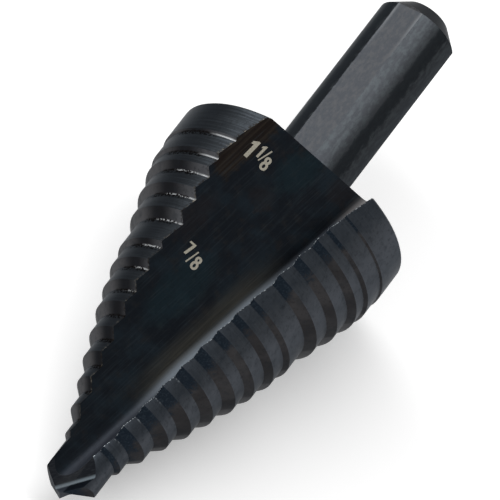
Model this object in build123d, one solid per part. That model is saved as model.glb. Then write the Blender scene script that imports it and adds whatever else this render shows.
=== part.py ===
from build123d import *
import os
from math import cos, radians, sin

# A step drill: one piece of high-speed steel, turned from bar to a stepped cone and then
# ground. It has two straight flutes, a split point that starts its own hole, and a
# round shank with three flats for the chuck.
#
# It is made standing on its point, which is the origin, with +Z up the axis to the
# shank. The first flute opens toward -Y. At the end it is laid on its other flute.
# Millimetres and degrees.

# ---- Driving dimensions -------------------------------------------------------------

# Body diameters.
pilot_diameter = 6.1
small_hole = 22.225              # 7/8 inch, the first size that it cuts
large_hole = 28.575              # 1 1/8 inch, the second
shank_diameter = 9.525           # 3/8 inch

# Lengths along the axis.
pilot_length = 6.13              # from the point to the first land
body_back_chamfer = 0.25
last_land_length = 3.9
shank_length = 26.2
shank_chamfer = 2.0
root_radius = 0.15               # in the corner where a land meets the slope behind it

# The steps from the pilot up to each hole size. Each has the part of the growth in
# diameter that is reached on its land, and the length from its land to the next one.
steps_to_small_hole = [
    (0.062, 2.74),
    (0.211, 2.84),
    (0.353, 2.63),
    (0.490, 2.67),
    (0.614, 2.68),
    (0.744, 2.40),
    (0.843, 2.52),
    (0.936, 2.30),
]
small_hole_land = 3.71
steps_to_large_hole = [
    (0.311, 2.67),
    (0.579, 2.57),
    (0.815, 1.65),
    (0.933, 2.46),
]

# A flute is a straight groove that climbs with the stepped cone. Its sharp corner, if it
# had one, would leave the point at flute_corner and lean away from the axis by
# flute_lean for each millimetre of length.
flute_corner = (0.292, 1.061)
flute_lean = (0.1824, -0.245)
flute_floor_angle = -167.7       # which way the wide floor runs from the corner
flute_wall_angle = -103.9        # which way the cutting wall runs from the corner
flute_radius_at_point = 1.9      # of its rounded corner, which tapers
flute_radius_at_back = 1.0

# The split point: two flat faces meet in a short chisel edge, and a notch in front of
# each face opens its cutting lip and thins the web. The notch's sharp corner is placed
# as the flute's is.
point_slope = 34.3               # of each flat face, from square to the axis
point_slope_toward = -11.8       # the direction in which the first face falls away
notch_corner = (-1.521, 1.389)
notch_lean = (1.082, -1.185)
notch_floor_angle = 160.2
lip_angle = -56.2
notch_radius = 0.57

# Three flats on the shank, each cut with a wheel that runs out short of the body.
flat_count = 3
flat_half_angle = 20.0           # half of the arc that each flat takes away
first_flat_toward = -114.0
flat_run_out_radius = 12.0
flat_gap = 0.7                   # from the back of the body to the start of the run-out

# ---- The turned blank ---------------------------------------------------------------


def lands():
    """Each land's radius and the height at which it starts, from the pilot up."""
    found = []
    height = pilot_length
    first_growth = small_hole - pilot_diameter
    for share, length in steps_to_small_hole:
        found.append(((pilot_diameter + share * first_growth) / 2, height))
        height += length
    found.append((small_hole / 2, height))
    height += small_hole_land
    second_growth = large_hole - small_hole
    for share, length in steps_to_large_hole:
        found.append(((small_hole + share * second_growth) / 2, height))
        height += length
    found.append((large_hole / 2, height))
    return found


body_lands = lands()
last_land_start = body_lands[-1][1]
body_back = last_land_start + last_land_length
shank_end = body_back + shank_length


def turned_blank():
    """The stepped cone and the shank as they leave the lathe."""
    radius = pilot_diameter / 2
    outline = [(0, 0), (radius, 0)]
    roots = []
    rises = []
    for next_radius, start in body_lands:
        rise = next_radius - radius
        rises.append(rise)
        roots.append((radius, start - rise))
        outline += [(radius, start - rise), (next_radius, start)]
        radius = next_radius
    shank_radius = shank_diameter / 2
    outline += [
        (radius, body_back - body_back_chamfer),
        (radius - body_back_chamfer, body_back),
        (shank_radius, body_back),
        (shank_radius, shank_end - shank_chamfer),
        (shank_radius - shank_chamfer, shank_end),
        (0, shank_end),
    ]
    half_section = Polygon(*outline, align=None)
    in_roots = [
        corner
        for corner in half_section.vertices()
        if any((corner.center() - Vector(*root)).length < 1e-4 for root in roots)
    ]
    half_section = fillet(in_roots, min([root_radius] + rises))
    return revolve(Plane.XZ * half_section, Axis.Z, 360)


# ---- Ground faces -------------------------------------------------------------------

reach = 2 * shank_end            # longer than the drill, so that each cut runs right out


def direction(angle):
    """A level direction, by its angle about the axis from +X toward +Y."""
    return Vector(cos(radians(angle)), sin(radians(angle)), 0)


def groove(corner, lean, first_wall, second_wall, rounding):
    """What a wheel takes away on a straight pass. Two flat walls run in the given
    directions from a corner, which crosses the level of the point at corner and leans by
    lean for each millimetre of height. The corner is rounded by the radius that rounding
    gives for each of two distances along the groove."""
    start = Vector(*corner, 0)
    along = Vector(*lean, 1).normalized()
    sides = []
    for angle in (first_wall, second_wall):
        level = direction(angle)
        sides.append((level - along * level.dot(along)).normalized())
    sections = []
    for distance, radius in rounding:
        across = Plane(origin=start + along * distance, x_dir=sides[0], z_dir=along)
        turned = across.to_local_coords(start + along * distance + sides[1])
        wedge = Polygon((0, 0), (reach, 0), (reach * turned.X, reach * turned.Y), align=None)
        wedge = fillet(wedge.vertices().sort_by_distance((0, 0))[0], radius)
        sections.append(across * wedge)
    return loft(sections, ruled=True)


def flute():
    """One flute, from in front of the point to behind the body."""
    taper = (flute_radius_at_back - flute_radius_at_point) / body_back
    rounding = [
        (distance, flute_radius_at_point + taper * distance)
        for distance in (-pilot_length, body_back + last_land_length)
    ]
    return groove(flute_corner, flute_lean, flute_floor_angle, flute_wall_angle, rounding)


def notch():
    """One notch of the split point."""
    rounding = [(-reach, notch_radius), (reach, notch_radius)]
    return groove(notch_corner, notch_lean, notch_floor_angle, lip_angle, rounding)


def point_face():
    """Everything in front of one of the two flat faces of the point."""
    facing = Rot(0, 0, point_slope_toward) * Rot(0, -point_slope, 0)
    return facing * Pos(0, 0, -reach / 2) * Box(reach, reach, reach)


def shank_flat(toward):
    """What the wheel takes off the shank for one flat, with the wheel's own curve at
    the end by the body."""
    shank_radius = shank_diameter / 2
    floor = shank_radius * cos(radians(flat_half_angle))
    depth = shank_radius - floor
    run_out = (2 * flat_run_out_radius * depth - depth**2) ** 0.5
    begins = body_back + flat_gap
    outline = TangentArc((floor, begins + run_out), (shank_radius, begins), tangent=(0, -1))
    outline += Polyline(
        (shank_radius, begins),
        (shank_diameter, begins),
        (shank_diameter, shank_end),
        (floor, shank_end),
        (floor, begins + run_out),
    )
    return Rot(0, 0, toward) * extrude(Plane.XZ * make_face(outline), shank_radius, both=True)


def step_drill():
    """The finished drill, standing on its point."""
    first_side = [flute(), notch(), point_face()]
    drill = turned_blank()
    for cut in first_side:
        drill -= cut
        drill -= Rot(0, 0, 180) * cut
    for number in range(flat_count):
        drill -= shank_flat(first_flat_toward + number * 360 / flat_count)
    return drill


# ---- At rest on the table -----------------------------------------------------------


def down_at(roll, pitch):
    """Which way is down for the standing drill, once it is rolled and tipped."""
    return direction(roll) * cos(radians(pitch)) - Vector(0, 0, sin(radians(pitch)))


def laid_on_flute(drill):
    """The drill as it comes to rest with its second flute down: of all ways to lie on
    its corners, the one with its centre of mass lowest. Its shank points along +X."""
    centre = drill.center(CenterOf.MASS)
    corners = [corner.center() - centre for corner in drill.vertices()]

    def mass_height(attitude):
        down = down_at(*attitude)
        return max(corner.dot(down) for corner in corners)

    best = (90.0, 10.0)
    step = 4.0
    while step > 1e-5:
        nearby = [
            (best[0] + step * across, best[1] + step * along)
            for across in range(-3, 4)
            for along in range(-3, 4)
        ]
        best = min(nearby, key=mass_height)
        step *= 0.7
    up = down_at(*best) * -1
    ahead = Vector(0, 0, 1)
    table = Plane(centre, x_dir=ahead - up * ahead.dot(up), z_dir=up)
    lying = table.to_local_coords(drill)
    box = lying.bounding_box()
    return Pos(-box.center().X, -box.center().Y, -box.min.Z) * lying


drill = laid_on_flute(step_drill())
os.makedirs("parts", exist_ok=True)
export_step(drill, "parts/step_drill.step")
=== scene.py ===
from math import cos, pi, radians, sin

import bpy
from mathutils import Matrix, Vector
from mathutils.geometry import tessellate_polygon


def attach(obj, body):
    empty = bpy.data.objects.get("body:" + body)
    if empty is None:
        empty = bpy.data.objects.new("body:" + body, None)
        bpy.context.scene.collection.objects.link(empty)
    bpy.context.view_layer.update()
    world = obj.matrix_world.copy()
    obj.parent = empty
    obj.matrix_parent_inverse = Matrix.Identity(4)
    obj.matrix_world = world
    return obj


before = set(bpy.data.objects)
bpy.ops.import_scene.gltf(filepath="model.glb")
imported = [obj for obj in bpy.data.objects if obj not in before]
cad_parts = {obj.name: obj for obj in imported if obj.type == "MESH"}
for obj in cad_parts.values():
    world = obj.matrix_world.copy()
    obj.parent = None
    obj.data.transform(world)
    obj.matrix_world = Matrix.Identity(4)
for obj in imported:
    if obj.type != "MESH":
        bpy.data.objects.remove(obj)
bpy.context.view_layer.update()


# ---- The drill ----------------------------------------------------------------------
# One bar of high-speed steel, turned to a stepped cone, ground and tempered to a dark blue
# grey. It keeps the lines of the tools that cut it: fine rings from the lathe on the lands,
# long scratches from the wheel in the flutes, and bare steel in the corners.

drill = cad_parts["step_drill"]

# How the drill lies: where its point is, in metres, how far its axis rises toward the
# shank, and how far it is rolled onto its lower flute.
point = Vector((-0.0345437, 0.0, 0.0045326))
axis_rises = radians(11.4545)
rolled = radians(5.3935)

# The drill's own three directions. Along runs from the point to the shank, out is the way
# the upper flute opens, and side is square to both.
along_axis = Vector((cos(axis_rises), 0, sin(axis_rises)))
upward = Vector((-sin(axis_rises), 0, cos(axis_rises)))
sideways = Vector((0, -1, 0))
out_axis = upward * cos(rolled) + sideways * sin(rolled)
side_axis = sideways * cos(rolled) - upward * sin(rolled)

# Its sizes. They and all places in its finish are in millimetres, from the point.
per_metre = 1000
shank_radius = 4.7625
root_radius = 0.15
roots_start = 7.0                        # past the round corner behind the pilot
body_back = 43.87
shank_end = 70.07
end_chamfer = 2.0


def level(angle):
    """The direction square to the axis at an angle, in degrees from side toward out."""
    return Vector((cos(radians(angle)), sin(radians(angle)), 0))


def square_to(line, way):
    """The direction square to a line that is nearest to a given way."""
    return (way - way.project(line)).normalized()


def walls_facing(run, first_angle, second_angle):
    """Which way the two walls of a groove face, by the way that it runs and the angles at
    which they leave its corner."""
    first = square_to(run, level(first_angle))
    second = square_to(run, level(second_angle))
    return square_to(first, second), square_to(second, first)


# Each groove: where its corner, if it were sharp, would leave the point, the way that the
# corner runs, and the angles of its two walls.
flute_corner = Vector((0.292, -1.061, 0))
flute_run = Vector((0.1824, 0.245, 1)).normalized()
flute_floor_angle = 167.7
flute_wall_angle = 103.9
floor_faces, wall_faces = walls_facing(flute_run, flute_floor_angle, flute_wall_angle)
notch_corner = Vector((-1.521, -1.389, 0))
notch_run = Vector((1.082, 1.185, 1)).normalized()
notch_floor_angle = -160.2
lip_angle = 56.2
notch_floor_faces, lip_faces = walls_facing(notch_run, notch_floor_angle, lip_angle)


def seen(red, green, blue):
    """A colour by the 0 to 255 numbers of a screen."""
    levels = [
        c / 12.92 if c <= 0.04045 else ((c + 0.055) / 1.055) ** 2.4
        for c in (red / 255, green / 255, blue / 255)
    ]
    return (*levels, 1.0)


class Wire:
    """A socket of a finish, so that the sums of a finish read as sums."""

    def __init__(self, socket):
        self.socket = socket

    def node(self, kind, settings, values, output=0):
        """Any node: its settings are made first, then its sockets are filled."""
        made = self.socket.id_data.nodes.new(kind)
        for name, value in settings.items():
            setattr(made, name, value)
        for key, value in values.items():
            if isinstance(value, Wire):
                made.id_data.links.new(value.socket, made.inputs[key])
            else:
                made.inputs[key].default_value = value
        return Wire(made.outputs[output])

    def math(self, operation, first, second):
        return self.node("ShaderNodeMath", {"operation": operation}, {0: first, 1: second})

    def __add__(self, other):
        return self.math("ADD", self, other)

    __radd__ = __add__

    def __sub__(self, other):
        return self.math("SUBTRACT", self, other)

    def __rsub__(self, other):
        return self.math("SUBTRACT", other, self)

    def __mul__(self, other):
        return self.math("MULTIPLY", self, other)

    __rmul__ = __mul__

    def __truediv__(self, other):
        return self.math("DIVIDE", self, other)

    def __pow__(self, other):
        return self.math("POWER", self, other)

    def __lt__(self, other):
        return self.math("LESS_THAN", self, other)

    def __gt__(self, other):
        return self.math("GREATER_THAN", self, other)

    def __or__(self, other):
        """Either of two masks."""
        return self.math("MAXIMUM", self, other)

    def __abs__(self):
        return self.math("ABSOLUTE", self, 0.0)

    def rises(self, low, high):
        """0 below low, 1 above high, and a soft step between them."""
        return self.node(
            "ShaderNodeMapRange",
            {"interpolation_type": "SMOOTHSTEP"},
            {"Value": self, "From Min": low, "From Max": high},
        )

    def falls(self, low, high):
        return 1 - self.rises(low, high)

    def band(self, start, full, fading, end):
        """0 outside start and end, and 1 from full to fading."""
        return self.rises(start, full) * self.falls(fading, end)

    def dot(self, direction):
        return self.node(
            "ShaderNodeVectorMath",
            {"operation": "DOT_PRODUCT"},
            {0: self, 1: tuple(direction)},
            output="Value",
        )

    def times(self, factors):
        """A vector with each of its three numbers multiplied by its own factor."""
        return self.node(
            "ShaderNodeVectorMath", {"operation": "MULTIPLY"}, {0: self, 1: factors}
        )

    def between(self, first, second):
        """first where this mask is 0 and second where it is 1."""
        return self.node(
            "ShaderNodeMix", {"data_type": "RGBA"}, {0: self, 6: first, 7: second}, output=2
        )

    def noise(self, scale, detail, roughness):
        return self.node(
            "ShaderNodeTexNoise",
            {},
            {"Vector": self, "Scale": scale, "Detail": detail, "Roughness": roughness},
        )


def vector_of(side, out, along):
    return side.node("ShaderNodeCombineXYZ", {}, {0: side, 1: out, 2: along})


def tinted(colour, where, strength, tint):
    """A colour with a tint laid over it, at this strength where the mask is 1."""
    return (where * strength).between(colour, tint)


def new_finish(name):
    """A plain finish: its material, its shader, and the object's own coordinates."""
    material = bpy.data.materials.new(name)
    material.use_nodes = True
    shader = material.node_tree.nodes["Principled BSDF"]
    here = Wire(shader.outputs[0]).node("ShaderNodeTexCoord", {}, {}, output="Object")
    return material, shader, here


def feed(node, name, wire):
    node.id_data.links.new(wire.socket, node.inputs[name])


drill_steel, shader, here = new_finish("tempered_steel")

# The place on the drill, in millimetres and in its own three directions.
from_point = here.node(
    "ShaderNodeVectorMath", {"operation": "SUBTRACT"}, {0: here, 1: tuple(point)}
)
side = from_point.dot(side_axis * per_metre)
out = from_point.dot(out_axis * per_metre)
along = from_point.dot(along_axis * per_metre)
place = vector_of(side, out, along)
radius = (side * side + out * out) ** 0.5
facing = here.node("ShaderNodeTexCoord", {}, {}, output="Normal")
tilt = facing.dot(along_axis)            # 0 on a land, below 0 on a slope, 1 on the back
touch = 0.02                             # as close to a plane as to be on it


def height_over(spot, faces, corner):
    """How far a spot is over the wall of a groove, on the wall's open side."""
    return spot.dot(faces) - faces.dot(corner)


def in_groove(spot, first_faces, second_faces, corner):
    """1 on every surface of a groove, because nothing else reaches into it."""
    over_first = height_over(spot, first_faces, corner)
    over_second = height_over(spot, second_faces, corner)
    return (over_first > -touch) * (over_second > -touch)


# Both halves of the drill are alike, half a turn apart. Home is the same place turned
# into the upper flute's half, so that each part of the finish is laid out once.
half_turn = (-1, -1, 1)
turned = place.times(half_turn)
first_flute = in_groove(place, floor_faces, wall_faces, flute_corner)
second_flute = in_groove(turned, floor_faces, wall_faces, flute_corner)
in_flute = first_flute | second_flute
behind_wall = height_over(place, wall_faces, flute_corner) < -touch
upper = (behind_wall | first_flute) * (1 - second_flute)
home = upper.between(turned, place)
over_wall = height_over(home, wall_faces, flute_corner)
over_heel = height_over(home.times(half_turn), floor_faces, flute_corner)

# How far round a half a place is, in radians: 0 at the side, more toward the cutting edge
# and less toward the heel, which is near -1.
round_about = home.node(
    "ShaderNodeMath",
    {"operation": "ARCTAN2"},
    {0: home.dot((0, 1, 0)), 1: home.dot((1, 0, 0))},
)
edge_side = round_about > 0
heel_side = round_about < 0

# Marks and clouds that several surfaces share. The shift keeps the two flutes from being
# scratched alike.
flute_across = flute_run.cross(floor_faces)
shift = upper * 40
scratch_place = vector_of(
    home.dot(flute_across) + shift, home.dot(floor_faces), home.dot(flute_run)
)
fine_scratches = scratch_place.times((7.0, 7.0, 0.22)).noise(1.0, 4.0, 0.65)
long_scratches = scratch_place.times((2.2, 2.2, 0.05)).noise(1.0, 2.0, 0.5)
rings = place.times((0.14, 0.14, 8.0)).noise(1.0, 3.0, 0.6)
clouds = place.noise(0.30, 3.0, 0.55)
small_clouds = place.noise(0.9, 3.0, 0.6)
grain = place.noise(2.6, 4.0, 0.65)
specks = place.noise(4.2, 2.0, 0.6)
uneven = small_clouds - 0.5

# Where on a flute's face a place is: across it from the corner toward the heel, and up it
# along the corner.
face_across = home.dot(flute_across) - flute_across.dot(flute_corner)
face_up = home.dot(flute_run) - flute_run.dot(flute_corner)


def patch_at(across, up, half_width, half_length):
    """A cloudy oval on the face, strongest in its middle."""
    ragged_across = uneven * 2.5
    ragged_up = uneven * 4
    off_across = (face_across - across + ragged_across) / half_width
    off_up = (face_up - up + ragged_up) / half_length
    return (off_across * off_across + off_up * off_up).falls(0.2, 1.3)


# The flutes: near black, partly the temper's own dark colour and partly painted shade for the
# dark that the face mirrors, with the temper's colours in clouds, teal in the open parts and
# brown where it ran hottest. The wheel's scratches run over them.
face = clouds.rises(0.42, 0.68).between(seen(18, 21, 25), seen(22, 28, 33))
face = tinted(face, small_clouds.rises(0.5, 0.75), 0.45, seen(30, 29, 29))
teal = patch_at(7.7, 24.5, 2.4, 5.5) | patch_at(8.4, 42.5, 2.3, 3.2)
face = tinted(face, teal, 0.4, seen(21, 35, 40))
hot = patch_at(9.0, 37.6, 1.7, 1.5) | patch_at(12.4, 31.0, 1.6, 3.5)
hot = hot | patch_at(3.5, 44.3, 1.6, 2.0)
face = tinted(face, hot, 0.35, seen(29, 25, 25))
brown = (face_across + uneven * 2).rises(12.6, 13.5)
brown = brown * (face_up + uneven * 2).rises(35.6, 36.4)
brown_steel = long_scratches.rises(0.45, 0.6).between(seen(24, 19, 16), seen(35, 30, 25))
face = tinted(face, brown, 0.85, brown_steel)
face = tinted(face, fine_scratches.rises(0.5, 0.75), 0.3, seen(44, 50, 54))
face = tinted(face, long_scratches.rises(0.6, 0.8), 0.15, seen(44, 50, 52))
face = tinted(face, grain.rises(0.5, 0.7), 0.3, seen(12, 14, 17))

# The flute's rounded corner carries a painted highlight, brightest midway up the body, where
# painted paler light also reaches out over the face.
midway = along.band(11, 19, 27, 35)
painted_haze_light = over_wall.falls(2.0, 4.3) * midway
painted_haze_light = painted_haze_light * (0.65 + 0.35 * fine_scratches.rises(0.4, 0.6))
face = painted_haze_light.between(face, seen(54, 53, 49))
painted_corner_light = (over_wall - midway * 0.5).falls(0.75, 1.95) * in_flute
corner_light_colour = midway.between(seen(50, 55, 62), seen(88, 95, 102))
corner_light_colour = along.rises(39, 42).between(corner_light_colour, seen(86, 84, 84))
corner_light_colour = along.rises(8, 14).between(seen(38, 42, 50), corner_light_colour)
corner_light_colour = tinted(corner_light_colour, fine_scratches.rises(0.45, 0.7), 0.4, seen(54, 60, 66))
face = painted_corner_light.between(face, corner_light_colour)

# The split point's notches: a dark floor and lip, with a painted highlight on the round
# corner between.
first_notch = in_groove(place, notch_floor_faces, lip_faces, notch_corner)
second_notch = in_groove(turned, notch_floor_faces, lip_faces, notch_corner)
notch_home = first_notch.between(turned, place)
over_notch_floor = height_over(notch_home, notch_floor_faces, notch_corner)
over_lip = height_over(notch_home, lip_faces, notch_corner)
notch_marks = vector_of(
    notch_home.dot(notch_run), over_notch_floor * 8, over_lip * 8
).noise(1.0, 3.0, 0.6)
notch = over_lip.rises(0.1, 0.3).between(seen(29, 35, 44), seen(27, 29, 33))
notch = tinted(notch, notch_marks.rises(0.45, 0.7), 0.5, seen(52, 55, 58))
painted_notch_highlight = (over_notch_floor | over_lip).falls(0.1, 0.34)
notch = tinted(notch, painted_notch_highlight, 0.9, seen(98, 107, 113))

# Lands and slopes: the lathe's rings under a cloudy temper, with painted shade that is
# darkest midway round each half, painted light on the lands behind the edge, and painted
# light again beside the heel.
# Masks for the painted shade and light round each half.
far_round = round_about.rises(-0.56, -0.22)
painted_light_behind_edge = round_about.band(-0.1, 0.15, 0.55, 1.0)
by_heel = round_about.falls(-0.95, -0.62)
land = far_round.between(seen(27, 29, 32), seen(46, 49, 53))
land = painted_light_behind_edge.between(land, seen(67, 70, 75))
land = by_heel.between(land, seen(38, 41, 44))
ring_strength = 0.1 + 0.2 * by_heel
land = tinted(land, rings.rises(0.42, 0.7), ring_strength, seen(78, 84, 90))
edge_slope = clouds.rises(0.35, 0.65).between(seen(42, 41, 42), seen(52, 51, 52))
# The heel side's slopes: painted shade midway round, painted light toward the side.
heel_slope = far_round.between(seen(25, 25, 27), seen(74, 73, 74))
slope = edge_side.between(heel_slope, edge_slope)
slope = by_heel.between(slope, seen(76, 77, 80))
on_slope = tilt.falls(-0.6, -0.3)
steel = on_slope.between(land, slope)
steel = tinted(steel, small_clouds.rises(0.45, 0.75), 0.35, seen(30, 34, 38))
steel = tinted(steel, grain.rises(0.5, 0.7), 0.4, seen(24, 25, 27))


def heights_of_roots():
    """How far along the drill its small round corners are, read off the solid, apart from
    the one behind the pilot, which stays plain. Their faces are narrow bands that look out
    from the axis and a little toward the point, though less than the slopes do."""
    turn = drill.matrix_world.to_3x3()
    heights = []
    for polygon in drill.data.polygons:
        corners = [
            (drill.matrix_world @ drill.data.vertices[index].co - point) * per_metre
            for index in polygon.vertices
        ]
        reached = [corner.dot(along_axis) for corner in corners]
        middle = sum(corners, Vector()) / len(corners)
        looks = turn @ polygon.normal
        narrow = max(reached) - min(reached) < root_radius
        outward = abs(looks.dot(along_axis.cross(middle).normalized())) < 0.03
        if narrow and outward and 0.1 < -looks.dot(along_axis) < 0.6:
            heights.append(middle.dot(along_axis))
    heights.sort()
    least_apart = 0.5
    return [
        round(height, 2)
        for height, before in zip(heights, [0.0] + heights)
        if height - before > least_apart and roots_start < height < body_back
    ]


# The root of each slope carries a painted highlight beside the heel, which breaks into
# painted glints further round, over dark specks and painted shade in and beside the root.
in_root = 0
near_root = 0
for height in heights_of_roots():
    in_root += abs(along - height).falls(0.04, 0.14)
    near_root += abs(along - height + root_radius).falls(0.15, 0.35)
first_steps = along.falls(19, 23)
later_steps = along.rises(19, 23)
last_steps = along.rises(34, 36)
toward_heel = round_about.falls(-0.42, -0.3)
glint_specks = specks.rises(0.5, 0.55)
dark_specks_and_shade = near_root * specks.falls(0.47, 0.52) * round_about.rises(-0.86, -0.78) * toward_heel
dark_specks_and_shade = dark_specks_and_shade | (near_root * round_about.falls(-0.82, -0.74) * first_steps)
# Dark specks beside the roots toward the heel, painted shade beside the early roots, and
# painted shade in the roots toward the heel.
steel = tinted(steel, dark_specks_and_shade, 0.9, seen(12, 10, 9))
steel = tinted(steel, in_root * toward_heel, 0.8, seen(18, 15, 14))
heel_highlight_line = round_about.falls(-0.86, -0.72) * last_steps
heel_highlight_line = heel_highlight_line | (round_about.falls(-0.9, -0.84) * later_steps)
highlight_dots = round_about.falls(-0.62, -0.52) * glint_specks * along.falls(36, 37)
painted_root_highlight = (heel_highlight_line | highlight_dots) * in_root * later_steps
steel = tinted(steel, painted_root_highlight, 0.8, seen(160, 162, 164))
# Painted glints in the roots near the cutting edge, on the first steps.
painted_root_glints = in_root * over_wall.rises(-1.0, -0.4) * edge_side * glint_specks
painted_root_glints = painted_root_glints * along.falls(14, 20)
steel = tinted(steel, painted_root_glints, 0.6, seen(120, 126, 130))

# Behind the edge each slope has a ragged patch of dark blue, scratched by the wheel.
wheel_marks = home.times((6.0, 6.0, 1.6)).noise(1.0, 3.0, 0.6)
behind_edge = over_wall + small_clouds * 1.6 + (wheel_marks - 0.5) * 1.6
blued = behind_edge.rises(-1.4, -0.6) * edge_side * (0.25 + 0.75 * on_slope)
blue_steel = tinted(seen(18, 27, 36), wheel_marks.rises(0.48, 0.68), 0.4, seen(50, 60, 68))
steel = tinted(steel, blued, 0.85, blue_steel)

# A painted highlight runs along the burr at the edge, and the heel is worn to specks.
painted_burr_highlight = over_wall.rises(-0.09, -0.02) * edge_side * specks.rises(0.5, 0.6)
steel = painted_burr_highlight.between(steel, seen(156, 162, 166))
heel_wear = over_heel.rises(-0.35, -0.05) * heel_side * specks.rises(0.48, 0.54)
heel_steel = small_clouds.rises(0.5, 0.62).between(seen(24, 19, 14), seen(92, 88, 80))
steel = tinted(steel, heel_wear, 0.8, heel_steel)

# The back of the body, faced off in the lathe: fine circles round the shank.
circles = vector_of(radius, 0, 0).noise(7.0, 3.0, 0.6)
faced = circles.rises(0.35, 0.7).between(seen(34, 37, 40), seen(56, 59, 63))
faced = tinted(faced, small_clouds.rises(0.45, 0.75), 0.5, seen(28, 31, 35))
steel = tilt.rises(0.5, 0.9).between(steel, faced)

# The shank: brushed along, with turned lines beside the body and two bands of painted shade.
brushed = place.times((3.0, 3.0, 0.12)).noise(1.0, 3.0, 0.6)
mottle = place.times((2.4, 2.4, 1.2)).noise(1.0, 4.0, 0.65)
shank = brushed.rises(0.3, 0.75).between(seen(42, 44, 47), seen(47, 49, 52))
shank = tinted(shank, mottle.rises(0.42, 0.62), 0.4, seen(58, 63, 65))
neck_lines = along.falls(45.5, 47.0) * rings.rises(0.45, 0.6)
shank = tinted(shank, neck_lines, 0.4, seen(66, 70, 72))
from_side = side / radius + (mottle - 0.5) * 0.25
painted_shade_bands = from_side.band(-0.95, -0.86, -0.74, -0.66) | from_side.band(0.4, 0.48, 0.64, 0.76)
shank = tinted(shank, painted_shade_bands, 0.75, seen(22, 25, 28))

# Its three ground flats are smoother, worn bright along their edges toward the end, and
# the end's chamfer is dark.
on_flat = radius < shank_radius - touch
flat = mottle.rises(0.4, 0.65).between(seen(44, 46, 49), seen(50, 51, 53))
flat_edge = radius.rises(shank_radius - 0.14, shank_radius - 0.04) * along.rises(60, 67)
flat = tinted(flat, flat_edge, 0.4, seen(84, 86, 88))
shank = on_flat.between(shank, flat)
chamfer_start = shank_end - end_chamfer
on_chamfer = along.rises(chamfer_start - 0.05, chamfer_start + 0.05)
dark_end = specks.rises(0.4, 0.6).between(seen(22, 21, 20), seen(36, 36, 37))
shank = tinted(shank, on_chamfer, 0.75, dark_end)

colour = in_flute.between(steel, face)
colour = (first_notch | second_notch).between(colour, notch)
colour = (along > body_back + touch).between(colour, shank)
feed(shader, "Base Color", colour)
# The corner with the painted highlight is also rougher and less metallic.
feed(shader, "Roughness", 0.34 + 0.10 * specks + 0.12 * painted_corner_light + 0.5 * dark_specks_and_shade)
feed(shader, "Metallic", 1 - 0.5 * painted_corner_light)
shader.inputs["Specular Tint"].default_value = (0.52, 0.53, 0.54, 1)
tool_lines = in_flute.node(
    "ShaderNodeMix", {"data_type": "FLOAT"}, {0: in_flute, 2: rings, 3: fine_scratches}
)
tool_line_depth = 0.02 / per_metre
bump = tool_lines.node(
    "ShaderNodeBump", {}, {"Strength": 0.3, "Distance": tool_line_depth, "Height": tool_lines}
)
feed(shader, "Normal", bump)
for slot in drill.material_slots:
    slot.material = drill_steel


# ---- The size marks -----------------------------------------------------------------
# The two hole sizes, burnt into the face of the upper flute beside the lands that cut
# them. They are pale and matt, and have no depth that a finger would feel.

mark_finish, shader, here = new_finish("burnt_mark")
burn = here.noise(9.0 * per_metre, 3.0, 0.6)
burnt_colour = burn.rises(0.3, 0.7).between(seen(152, 147, 133), seen(176, 171, 157))
feed(shader, "Base Color", burnt_colour)
feed(shader, "Roughness", 0.55 + 0.2 * burn)
shader.inputs["Specular IOR Level"].default_value = 0.3

# The figures stand on the face in its own two directions, in millimetres.
mark_across = -level(flute_floor_angle)
mark_up = mark_across.cross(floor_faces)
mark_lift = 0.012                        # clear of the face, so that the two never flicker


def one(left, base, height, stroke):
    """The figure 1, leaning a little, with a short flag."""
    lean = 0.075
    flag = -0.65 * stroke
    outline = [
        (0, 0), (stroke, 0), (stroke, height), (0.45 * stroke, height),
        (flag, 0.84 * height), (flag, 0.69 * height), (0, 0.72 * height),
    ]
    return [[(left + x + lean * y, base + y) for x, y in outline]]


def seven(left, base, height):
    """The figure 7, with a straight leg."""
    outline = [
        (0, 0), (0.21, 0), (0.42, 0.84), (0.42, 1), (-0.12, 1), (-0.12, 0.855), (0.2, 0.855),
    ]
    return [[(left + x * height, base + y * height) for x, y in outline]]


def fraction_bar(foot, head, width):
    foot = Vector(foot)
    head = Vector(head)
    beside = (head - foot).orthogonal().normalized() * width / 2
    corners = (foot + beside, foot - beside, head - beside, head + beside)
    return [[tuple(corner) for corner in corners]]


def eight(middle, base, height, width):
    """The figure 8: a small bowl on a larger one, each with an oval hole."""
    bowls = [(0.3, 0.3, 0.5), (0.755, 0.245, 0.44)]     # middle, half height, half width
    fullness = 2.3                       # of a bowl's outline, where 2 is an ellipse
    waist = 0.3                          # half width, wherever the bowls are narrower
    stroke_across = 0.32
    stroke_up = 0.15

    def half_width(up):
        reach = [
            wide * max(0.0, 1 - abs((up - centre) / tall) ** fullness) ** (1 / fullness)
            for centre, tall, wide in bowls
        ]
        between_middles = bowls[0][0] < up < bowls[1][0]
        return max(*reach, waist if between_middles else 0.0)

    steps = 40                           # up one side, closer together at both ends
    levels = [(1 - cos(pi * step / steps)) / 2 for step in range(steps + 1)]
    right = [(middle + half_width(up) * width, base + up * height) for up in levels]
    left = [(2 * middle - x, y) for x, y in reversed(right[1:-1])]
    holes = [
        [
            (middle + (wide - stroke_across) * width * cos(radians(turn)),
             base + (centre + (tall - stroke_up) * sin(radians(turn))) * height)
            for turn in range(0, 360, 18)
        ]
        for centre, tall, wide in bowls
    ]
    return [right + left] + holes


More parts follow.
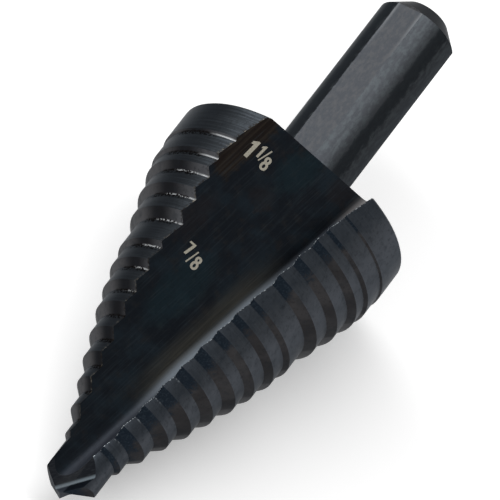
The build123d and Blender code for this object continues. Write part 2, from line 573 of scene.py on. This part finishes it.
def burnt_mark(name, figures):
    """A flat mesh of figures on the flute's face. Each is an outline and its holes."""
    verts = []
    faces = []
    for loops in figures:
        start = len(verts)
        for across, up in (spot for loop in loops for spot in loop):
            local = flute_corner + mark_across * across + mark_up * up
            local += floor_faces * mark_lift
            away = side_axis * local.x + out_axis * local.y + along_axis * local.z
            verts.append(point + away / per_metre)
        flat_loops = [[Vector((x, y, 0)) for x, y in loop] for loop in loops]
        for triangle in tessellate_polygon(flat_loops):
            faces.append([start + corner for corner in triangle])
    mesh = bpy.data.meshes.new(name)
    mesh.from_pydata(verts, [], faces)
    mesh.materials.append(mark_finish)
    piece = bpy.data.objects.new(name, mesh)
    bpy.context.collection.objects.link(piece)
    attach(piece, "root")


burnt_mark("small_size_mark", [
    seven(left=-6.995, base=28.53, height=1.47),
    fraction_bar(foot=(-6.186, 27.93), head=(-5.746, 29.61), width=0.16),
    eight(middle=-5.2, base=27.75, height=1.57, width=0.86),
])
burnt_mark("large_size_mark", [
    one(left=-8.794, base=40.58, height=2.2, stroke=0.45),
    one(left=-7.708, base=41.38, height=1.55, stroke=0.28),
    fraction_bar(foot=(-7.232, 41.19), head=(-6.685, 42.92), width=0.15),
    eight(middle=-6.37, base=40.63, height=1.61, width=0.88),
])


# ---- The table and the light --------------------------------------------------------
# A white sheet under the drill, which keeps its shadow, one long soft panel over it, and a
# white room that the steel mirrors.

sheet_half = 3.0
paper_glow = 0.38                        # for the eye alone, up to the white of paper
room_light = 0.15                        # on the drill, from a room that looks white
panel_at = Vector((0.156, 0.165, 0.555))
panel_aim = Vector((0, 0, 0.012))
panel_size = (0.25, 1.28)
panel_power = 5.4


def looked_at(wire):
    """1 for a ray that shows a surface to the eye: straight, mirrored or through glass."""
    kinds = ("Is Camera Ray", "Is Glossy Ray", "Is Transmission Ray")
    rays = [wire.node("ShaderNodeLightPath", {}, {}, output=kind) for kind in kinds]
    return sum(rays) > 0.5


white_sheet, shader, here = new_finish("white_sheet")
shader.inputs["Base Color"].default_value = (0.8, 0.8, 0.8, 1)
shader.inputs["Roughness"].default_value = 0.9
shader.inputs["Specular IOR Level"].default_value = 0.1
glow = here.node("ShaderNodeEmission", {}, {"Strength": paper_glow})
glow = here.node("ShaderNodeMixShader", {}, {0: looked_at(here), 2: glow})
sheet_shader = here.node("ShaderNodeAddShader", {}, {0: Wire(shader.outputs[0]), 1: glow})
feed(white_sheet.node_tree.nodes["Material Output"], "Surface", sheet_shader)

sheet_mesh = bpy.data.meshes.new("white_sheet")
sheet_mesh.from_pydata(
    [(x * sheet_half, y * sheet_half, 0) for x, y in ((-1, -1), (1, -1), (1, 1), (-1, 1))],
    [], [(0, 1, 2, 3)],
)
sheet_mesh.materials.append(white_sheet)
sheet = bpy.data.objects.new("white_sheet", sheet_mesh)
bpy.context.collection.objects.link(sheet)

world = bpy.data.worlds.new("studio")
bpy.context.scene.world = world
world.use_nodes = True
room = world.node_tree.nodes["Background"]
room.inputs["Color"].default_value = (1, 1, 1, 1)
room_seen = looked_at(Wire(room.outputs["Background"]))
feed(room, "Strength", room_light + (1 - room_light) * room_seen)

lamp = bpy.data.lights.new("top_panel", "AREA")
lamp.shape = "RECTANGLE"
lamp.size, lamp.size_y = panel_size
lamp.energy = panel_power
panel = bpy.data.objects.new("top_panel", lamp)
panel_back = (panel_at - panel_aim).normalized()
panel_right = square_to(panel_back, Vector((1, 0, 0)))
panel_turn = Matrix((panel_right, panel_back.cross(panel_right), panel_back)).transposed()
panel.matrix_world = Matrix.Translation(panel_at) @ panel_turn.to_4x4()
bpy.context.collection.objects.link(panel)


# ---- The camera ---------------------------------------------------------------------
# A long lens, high on the point's side and far off, so that the drill narrows only a
# little toward its shank. It is turned so that the drill runs up to the right.

lens = bpy.data.cameras.new("camera")
lens.sensor_width = 36
lens.lens = 509.16
lens.clip_end = 20
camera = bpy.data.objects.new("camera", lens)
camera_at = Vector((-0.427301, -0.10139, 0.630542))
camera_heading = radians(-76.6784)       # round from +Y
camera_tilt = radians(35.3757)           # up from straight down
camera_roll = radians(23.3448)
camera.matrix_world = (
    Matrix.Translation(camera_at)
    @ Matrix.Rotation(camera_heading, 4, "Z")
    @ Matrix.Rotation(camera_tilt, 4, "X")
    @ Matrix.Rotation(camera_roll, 4, "Z")
)
bpy.context.collection.objects.link(camera)
bpy.context.scene.camera = camera
bpy.context.scene.view_settings.view_transform = "Standard"
